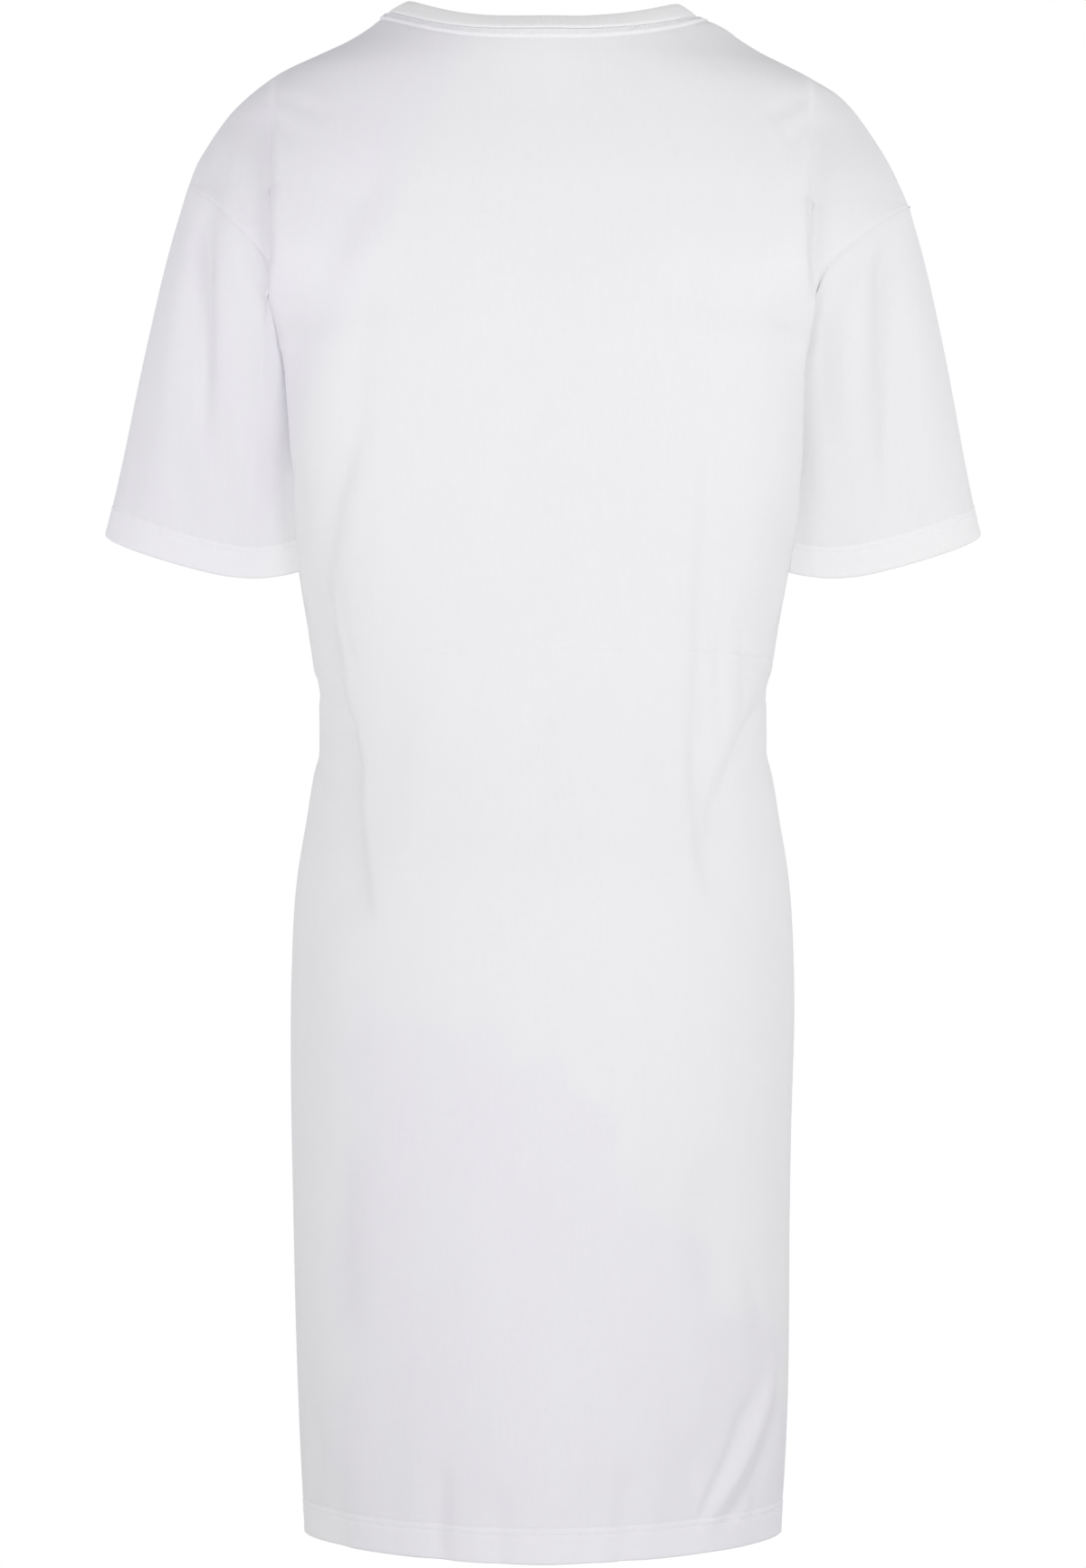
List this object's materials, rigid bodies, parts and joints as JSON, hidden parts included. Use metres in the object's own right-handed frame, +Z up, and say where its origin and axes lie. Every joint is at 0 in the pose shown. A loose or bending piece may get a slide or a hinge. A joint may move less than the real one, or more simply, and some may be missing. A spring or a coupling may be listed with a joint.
{
  "type": "t-shirt dress",
  "caption": "Knee-length t-shirt dress in white cotton jersey with a round ribbed neck, dropped shoulders, short sleeves and a waist seam, filled out as worn.",
  "frame": {"origin": "middle of the base of the neck opening, at shoulder height, where the wearer holds the dress up", "axes": "+Z up, +Y towards the front of the dress, +X towards the wearer's right"},
  "size_m": [0.546, 0.2331, 0.9474],
  "materials": {
    "white_jersey": "matt cotton jersey, fine vertical knit",
    "white_rib": "matt cotton rib knit"
  },
  "bodies": {
    "root": {"back_bodice": "white_jersey", "front_bodice": "white_jersey", "back_skirt": "white_jersey", "front_skirt": "white_jersey", "sleeve_left": "white_jersey", "sleeve_right": "white_jersey", "neckband": "white_rib"}
  },
  "joints": []
}
